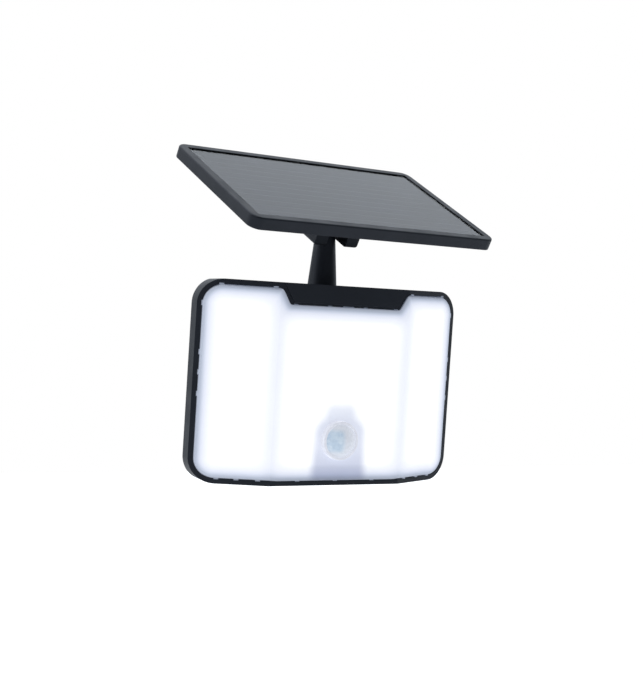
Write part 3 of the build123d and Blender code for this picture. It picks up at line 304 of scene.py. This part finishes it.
def sensor_shadow(tree):
    """Soft shadow of the sensor and its shroud on the lit diffuser: a wide foot with a narrow neck."""
    across = calc(tree, "SUBTRACT", along(tree, HEAD, 0), SHADOW_SHIFT)
    height = along(tree, HEAD, 2)
    widen = ramp(tree, height, 0.046, 0.0, 1.0, 0.9, smooth=False)
    foot_across = calc(tree, "MULTIPLY", across, widen)
    foot_height = calc(tree, "SUBTRACT", height, FOOT_MIDDLE)
    foot = rounded_box(tree, foot_across, foot_height, FOOT_HALF_WIDTH, FOOT_HALF_HEIGHT, FOOT_CORNER)
    neck_height = calc(tree, "SUBTRACT", height, NECK_MIDDLE)
    neck = rounded_box(tree, across, neck_height, NECK_HALF_WIDTH, NECK_HALF_HEIGHT, NECK_CORNER)
    outline = calc(tree, "SMOOTH_MIN", foot, neck, SHOULDER_SOFT)
    shape = ramp(tree, outline, SHADOW_EDGE, -SHADOW_EDGE)
    return calc(tree, "MULTIPLY", shape, ramp(tree, height, 0.044, 0.062, 1.0, 0.6))


def frosted():
    """Frosted diffuser lit from behind: white in the middle, blue and dimmer towards its rim."""
    colour = (0.3, 0.32, 0.36)
    made, tree, shader = material("frosted_diffuser", colour, 0.42, IOR=1.35)
    glow = node(tree, "ValToRGB", {"Fac": ramp(tree, lit_depth(tree), 0.0, GLOW_REACH, smooth=False)})
    stops = glow.color_ramp.elements
    stops[0].color = (0.05, 0.06, 0.09, 1)
    stops[1].color = (0.92, 0.92, 0.93, 1)
    for where, tone in (
        (0.06, (0.16, 0.175, 0.22)),
        (0.18, (0.24, 0.27, 0.34)),
        (0.31, (0.43, 0.46, 0.55)),
        (0.42, (0.57, 0.59, 0.67)),
        (0.58, (0.68, 0.69, 0.75)),
        (0.8, (0.77, 0.78, 0.8)),
    ):
        stops.new(where).color = (*tone, 1)
    height = along(tree, HEAD, 2)
    dim = blend(tree, ramp(tree, height, 0.003, 0.032), (0.4, 0.42, 0.55, 1), (0.58, 0.6, 0.68, 1))
    veil = blend(tree, sensor_shadow(tree), (1, 1, 1, 1), dim)
    lit = blend(tree, 1.0, glow.outputs["Color"], veil, "MULTIPLY")
    tree.links.new(lit, shader.inputs["Emission Color"])
    shader.inputs["Emission Strength"].default_value = 1.0
    vary(tree, shader, colour, 0.03, 40.0)
    rough(tree, shader, 0.38, 0.5, 90.0)
    relief(tree, shader, noise(tree, 2200.0, 3.0), 0.000012)
    return made


def lens():
    """Thin milky dome of the sensor with rings moulded into each facet; its glow is painted light for the light
    leaking through it from behind, with painted bluish shade on the facets of its left side.
    """
    colour = (0.3, 0.33, 0.36)
    made, tree, shader = material("lens_plastic", colour, 0.3, IOR=1.45)
    cells = node(tree, "TexVoronoi", {"Vector": place(tree), "Scale": 380.0}, feature="F1")
    off_middle = calc(tree, "ABSOLUTE", calc(tree, "SUBTRACT", along(tree, HEAD, 2), SENSOR_HEIGHT))
    # Painted bluish shade on the left side of the dome, near the sensor's height
    side = ramp(tree, along(tree, HEAD, 0), 0.002, -0.003)
    side = calc(tree, "MULTIPLY", side, ramp(tree, off_middle, 0.0095, 0.0055))
    tint = blend(tree, side, (0.47, 0.48, 0.53, 1), (0.28, 0.37, 0.48, 1))
    shade = node(tree, "SeparateColor", {0: cells.outputs["Color"]}).outputs[0]
    painted_shade_patch = calc(tree, "MULTIPLY", side, ramp(tree, shade, 0.2, 0.9, 0.0, 0.5))
    painted_glow = blend(tree, painted_shade_patch, tint, (0.46, 0.53, 0.6, 1))
    # Painted light: the glow stands for light leaking through the dome from behind
    tree.links.new(painted_glow, shader.inputs["Emission Color"])
    shader.inputs["Emission Strength"].default_value = 0.9
    vary(tree, shader, colour, 0.04, 400.0)
    rough(tree, shader, 0.26, 0.36, 500.0)
    rings = calc(tree, "PINGPONG", cells.outputs["Distance"], 0.06)
    relief(tree, shader, calc(tree, "MULTIPLY", rings, 16.0), 0.00002)
    return made


def lens_ring():
    """White ring round the lens; its glow is painted light for the light it takes from the diffuser."""
    colour = (0.35, 0.36, 0.39)
    made, tree, shader = material("ring_plastic", colour, 0.25)
    # Painted light: the ring's glow stands for the light it takes from the diffuser
    glow = blend(tree, ramp(tree, noise(tree, 300.0), 0.3, 0.7), (0.42, 0.43, 0.48, 1), (0.46, 0.47, 0.52, 1))
    tree.links.new(glow, shader.inputs["Emission Color"])
    shader.inputs["Emission Strength"].default_value = 1.0
    vary(tree, shader, colour, 0.04, 200.0)
    rough(tree, shader, 0.2, 0.3, 300.0)
    relief(tree, shader, noise(tree, 2500.0, 3.0), 0.000006, 0.0002)
    return made


def led():
    """Phosphor of the LEDs, glowing."""
    colour = (0.95, 0.85, 0.4)
    made, tree, shader = material("led", colour, 0.3)
    glow = blend(tree, noise(tree, 900.0), (1.0, 0.93, 0.75, 1), (1.0, 1.0, 0.95, 1))
    tree.links.new(glow, shader.inputs["Emission Color"])
    shader.inputs["Emission Strength"].default_value = 2.0
    vary(tree, shader, colour, 0.05, 900.0)
    rough(tree, shader, 0.25, 0.4, 900.0)
    relief(tree, shader, noise(tree, 2500.0, 3.0), 0.00001)
    return made


def glass():
    """Tempered cover glass with the faint texture of solar glass."""
    colour = (0.93, 0.96, 0.97)
    made, tree, shader = material("panel_glass", colour, 0.15, IOR=1.52, Transmission_Weight=1.0)
    shader.inputs["Specular Tint"].default_value = (0.95, 0.98, 1.0, 1)
    vary(tree, shader, colour, 0.02, 60.0)
    rough(tree, shader, 0.145, 0.155, 40.0)
    relief(tree, shader, noise(tree, 60.0), 0.000001, flat=True)
    return made


def silicon():
    """Dark monocrystalline cells with fine silver fingers across each strip."""
    colour = (0.012, 0.015, 0.028)
    made, tree, shader = material("silicon", colour, 0.5, IOR=1.2)
    base = vary(tree, shader, colour, 0.25, 25.0)
    across = along(tree, PANEL, 0)
    fingers = calc(tree, "PINGPONG", across, FINGER_PITCH / 2)
    lines = ramp(tree, fingers, 0.00008, 0.00003)
    silver = blend(tree, calc(tree, "MULTIPLY", lines, 0.12), base, (0.35, 0.36, 0.38, 1))
    tree.links.new(silver, shader.inputs["Base Color"])
    rough(tree, shader, 0.48, 0.52, 150.0)
    relief(tree, shader, lines, 0.000002, flat=True)
    return made


def board(name, colour, trace):
    """Solder mask with traces showing through."""
    made, tree, shader = material(name, colour, 0.3, Coat_Weight=0.3, Coat_Roughness=0.1)
    base = vary(tree, shader, colour, 0.06, 80.0)
    cells = node(tree, "TexVoronoi", {"Vector": place(tree), "Scale": 330.0}, distance="CHEBYCHEV")
    tracks = ramp(tree, cells.outputs["Distance"], 0.42, 0.46)
    tree.links.new(blend(tree, tracks, base, (*trace, 1)), shader.inputs["Base Color"])
    rough(tree, shader, 0.25, 0.38, 250.0)
    relief(tree, shader, tracks, 0.00003, 0.0002)
    return made


def rubber(name, colour, roughness):
    """Matt rubber with a dusty, slightly rough skin."""
    made, tree, shader = material(name, colour, roughness, IOR=1.45)
    vary(tree, shader, colour, 0.2, 70.0)
    rough(tree, shader, roughness - 0.08, roughness + 0.05, 150.0)
    relief(tree, shader, noise(tree, 2600.0, 4.0), 0.00003, 0.0004)
    return made


SLOTS = {
    "black_plastic": moulded("black_plastic", (0.0084, 0.0096, 0.0125), 0.4),
    "bracket_plastic": moulded("bracket_plastic", (0.0075, 0.008, 0.0095), 0.52, 1300.0, 0.00005),
    "zinc_steel": metal("zinc_steel", (0.6, 0.61, 0.63), 0.3, 8.0),
    "contact_metal": metal("contact_metal", (0.72, 0.71, 0.68), 0.25, 5.0),
    "nylon": plain("nylon", (0.7, 0.69, 0.62), 0.45, Subsurface_Weight=0.2, Subsurface_Scale=0.002),
    "frosted_diffuser": frosted(),
    "white_plastic": plain("white_plastic", (0.8, 0.8, 0.8), 0.35),
    "holder_plastic": moulded("holder_plastic", (0.03, 0.03, 0.03), 0.5),
    "lens_plastic": lens(),
    "ring_plastic": lens_ring(),
    "sensor_metal": metal("sensor_metal", (0.65, 0.64, 0.6), 0.22, 2.0),
    "white_board": board("white_board", (0.78, 0.79, 0.78), (0.72, 0.73, 0.72)),
    "led": led(),
    "green_board": board("green_board", (0.015, 0.12, 0.045), (0.03, 0.2, 0.08)),
    "component_plastic": plain("component_plastic", (0.02, 0.02, 0.022), 0.4, 3000.0, 0.00002),
    "cell_wrap": plain("cell_wrap", (0.03, 0.12, 0.4), 0.25, Coat_Weight=0.5, Coat_Roughness=0.08),
    "seal_rubber": rubber("seal_rubber", (0.012, 0.012, 0.013), 0.75),
    "button_rubber": rubber("button_rubber", (0.035, 0.036, 0.04), 0.6),
    "panel_glass": glass(),
    "backsheet": plain("backsheet", (0.012, 0.014, 0.022), 0.5, 700.0, 0.00001, IOR=1.2),
    "silicon": silicon(),
}


def paint(piece, slot):
    """Gives a piece the material of its slot, alone."""
    piece.data.materials.clear()
    piece.data.materials.append(SLOTS[slot])


for subpart in record["subparts"]:
    paint(nodes[subpart["node"]], subpart["material_slot"])


# ---------------------------------------------------------------- faceted dome of the motion sensor
FACET_SIDES = 12
STEPS_PER_SIDE = 4
ROW_ANGLES = (9.0, 24.0, 39.0)              # degrees from the line of sight to the edges of the facet rows


def dome_rows(radius, rise, stand, flat):
    """Edges of the rows of facets, from the tip down to the straight wall."""
    sphere = (radius**2 + rise**2) / (2 * rise)
    rim_angle = degrees(asin(radius / sphere))
    rows = []
    for angle in (*ROW_ANGLES, rim_angle):
        up = stand + rise - sphere * (1 - cos(radians(angle)))
        rows.append((sphere * sin(radians(angle)), up, flat and angle < rim_angle))
    return rows


def ring_points(radius, up, flat):
    """Points of one ring round the lens's axis, on a circle or on flat sides with their corners on it."""
    count = FACET_SIDES * STEPS_PER_SIDE
    side = 2 * pi / FACET_SIDES
    points = []
    for step in range(count):
        angle = 2 * pi * step / count
        from_middle = angle % side - side / 2
        reach = radius * cos(side / 2) / cos(from_middle) if flat else radius
        points.append(HEAD @ Vector((reach * cos(angle), -up, SENSOR_HEIGHT + reach * sin(angle))))
    return points


def lens_dome():
    """The lens as a shell: rows of flat facets outside, smooth inside, on its wall and flange."""
    inner = LENS_RADIUS - LENS_WALL
    flange_back = -LENS_SEAT - LENS_FLANGE
    rings = dome_rows(LENS_RADIUS, LENS_RISE, LENS_STAND, True)
    rings += [
        (LENS_RADIUS, -LENS_SEAT, False),
        (LENS_FLANGE_RADIUS, -LENS_SEAT, False),
        (LENS_FLANGE_RADIUS, flange_back, False),
        (inner, flange_back, False),
    ]
    rings += dome_rows(inner, LENS_RISE - LENS_WALL, LENS_STAND, False)[::-1]
    count = FACET_SIDES * STEPS_PER_SIDE
    points = [point for ring in rings for point in ring_points(*ring)]
    faces = [tuple(range(count)), tuple(range((len(rings) - 1) * count, len(rings) * count))[::-1]]
    for row in range(len(rings) - 1):
        for step in range(count):
            after = (step + 1) % count
            low = row * count
            faces.append((low + step, low + count + step, low + count + after, low + after))
    mesh = bpy.data.meshes.new("sensor_lens")
    mesh.from_pydata(points, [], faces)
    mesh.update()
    dome = bpy.data.objects.new("sensor_lens", mesh)
    bpy.context.scene.collection.objects.link(dome)
    return dome


sensor_lens = lens_dome()
paint(sensor_lens, "lens_plastic")
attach(sensor_lens, "lamp_head")
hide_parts("motion_lens")


# ---------------------------------------------------------------- cover glass, laminated on the cells
GLASS_CORNER = 0.005
CELL_SINK = 0.00005        # how deep the cells sit in the glass's back, so that no two faces share a plane
CORNER_STEPS = 6


def span(piece, where):
    """Lowest and highest point of a piece along the axes of a frame."""
    to_frame = where.inverted() @ piece.matrix_world
    points = [to_frame @ vertex.co for vertex in piece.data.vertices]
    return [(min(point[axis] for point in points), max(point[axis] for point in points)) for axis in range(3)]


def glass_sheet():
    """The cover glass as a closed sheet with rounded corners."""
    (left, right), (front, back), (low, high) = span(nodes["panel_glass"], PANEL)
    middle_x, middle_y = (left + right) / 2, (front + back) / 2
    half_x, half_y = (right - left) / 2 - GLASS_CORNER, (back - front) / 2 - GLASS_CORNER
    outline = []
    for quarter, (side_x, side_y) in enumerate(((1, 1), (-1, 1), (-1, -1), (1, -1))):
        for step in range(CORNER_STEPS + 1):
            angle = pi / 2 * (quarter + step / CORNER_STEPS)
            across = middle_x + side_x * half_x + GLASS_CORNER * cos(angle)
            along_side = middle_y + side_y * half_y + GLASS_CORNER * sin(angle)
            outline.append((across, along_side))
    count = len(outline)
    points = [PANEL @ Vector((*point, level)) for level in (low - CELL_SINK, high) for point in outline]
    faces = [tuple(range(count))[::-1], tuple(range(count, 2 * count))]
    for step in range(count):
        after = (step + 1) % count
        faces.append((step, after, count + after, count + step))
    mesh = bpy.data.meshes.new("cover_glass")
    mesh.from_pydata(points, [], faces)
    mesh.update()
    sheet = bpy.data.objects.new("cover_glass", mesh)
    bpy.context.scene.collection.objects.link(sheet)
    return sheet


cover_glass = glass_sheet()
paint(cover_glass, "panel_glass")
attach(cover_glass, "panel")
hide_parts("panel_glass")


# ---------------------------------------------------------------- stage, light and camera
FLOOR_DROP = 0.35
FLOOR_HALF = 12.0
FLOOR_COLOUR = (0.9, 0.9, 0.9)
FLOOR_GLOW = 0.6                            # for the camera only
LIGHTS = {                                  # place from the object's middle, size in metres, watts
    "light_over": ((-0.5, -0.3, 1.6), (1.6, 1.6), 14),
    "light_left": ((-1.5, 0.5, 0.7), (1.2, 1.4), 5.6),
}
SUN_POWER = 0.5
SUN_ANGLE = radians(50)
SURROUND_LOW = 0.72                         # brightness of the surround at the horizon
SURROUND_RISE = 0.45                        # and what is added overhead
FRONT_DIMMING = 0.85                        # how much darker it is on the camera's side

corners = [(x * FLOOR_HALF, y * FLOOR_HALF, 0) for x, y in ((-1, -1), (1, -1), (1, 1), (-1, 1))]
floor_mesh = bpy.data.meshes.new("floor")
floor_mesh.from_pydata(corners, [], [(0, 1, 2, 3)])
floor = bpy.data.objects.new("floor", floor_mesh)
floor.location.z = cad_box[0][2] - FLOOR_DROP
bpy.context.scene.collection.objects.link(floor)
floor_look, floor_tree, floor_shader = material("floor", FLOOR_COLOUR, 0.8)
vary(floor_tree, floor_shader, FLOOR_COLOUR, 0.01, 3.0)
floor_shader.inputs["Emission Color"].default_value = (1, 1, 1, 1)
seen_floor = calc(floor_tree, "MULTIPLY", node(floor_tree, "LightPath").outputs["Is Camera Ray"], FLOOR_GLOW)
floor_tree.links.new(seen_floor, floor_shader.inputs["Emission Strength"])
floor_mesh.materials.append(floor_look)


def area_light(name, position, target, size, power):
    """Large soft light aimed at a point."""
    data = bpy.data.lights.new(name, "AREA")
    data.shape = "RECTANGLE"
    data.size, data.size_y = size
    data.energy = power
    light = bpy.data.objects.new(name, data)
    light.location = position
    light.rotation_euler = (target - light.location).to_track_quat("-Z", "Y").to_euler()
    bpy.context.scene.collection.objects.link(light)


middle = (Vector(cad_box[0]) + Vector(cad_box[1])) / 2
for name, (offset, size, power) in LIGHTS.items():
    area_light(name, middle + Vector(offset), middle, size, power)

sun_data = bpy.data.lights.new("light_floor", "SUN")
sun_data.energy = SUN_POWER
sun_data.angle = SUN_ANGLE
bpy.context.scene.collection.objects.link(bpy.data.objects.new("light_floor", sun_data))


def studio_world():
    """White all round, as a white studio is, but darker on the camera's side."""
    world = bpy.data.worlds.new("studio")
    world.use_nodes = True
    tree = world.node_tree
    tree.nodes.clear()
    direction = node(tree, "TexCoord").outputs["Generated"]
    axes = node(tree, "SeparateXYZ", {0: direction}).outputs
    front = ramp(tree, axes["Y"], 0.1, -0.75)
    level = calc(tree, "MULTIPLY_ADD", ramp(tree, axes["Z"], 0.0, 0.9), SURROUND_RISE, SURROUND_LOW)
    level = calc(tree, "MULTIPLY", level, calc(tree, "MULTIPLY_ADD", front, -FRONT_DIMMING, 1.0))
    lighting = node(tree, "Background", {"Color": (0.87, 0.93, 1.0, 1), "Strength": level})
    seen = node(tree, "Background", {"Color": (1, 1, 1, 1), "Strength": 1.0})
    ray = node(tree, "LightPath").outputs["Is Camera Ray"]
    mixed = node(tree, "MixShader", {0: ray, 1: lighting.outputs[0], 2: seen.outputs[0]})
    output = node(tree, "OutputWorld")
    tree.links.new(mixed.outputs[0], output.inputs["Surface"])
    bpy.context.scene.world = world


studio_world()

CAMERA_DISTANCE = 0.8915
CAMERA_AZIMUTH = radians(-27.24)
CAMERA_ELEVATION = radians(-4.54)
CAMERA_AIM = (-0.01396, 0.00849, 0.1052)    # in the head's frame
CAMERA_SENSOR = 36.0
CAMERA_LENS = 66.83

camera_data = bpy.data.cameras.new("camera")
camera_data.sensor_width = CAMERA_SENSOR
camera_data.lens = CAMERA_LENS
camera_data.clip_start = 0.01
camera = bpy.data.objects.new("camera", camera_data)
aim = HEAD @ Vector(CAMERA_AIM)
out = Vector((
    sin(CAMERA_AZIMUTH) * cos(CAMERA_ELEVATION),
    -cos(CAMERA_AZIMUTH) * cos(CAMERA_ELEVATION),
    sin(CAMERA_ELEVATION),
))
camera.location = aim + CAMERA_DISTANCE * out
camera.rotation_euler = (-out).to_track_quat("-Z", "Y").to_euler()
bpy.context.scene.collection.objects.link(camera)
bpy.context.scene.camera = camera
bpy.context.scene.view_settings.view_transform = "Standard"
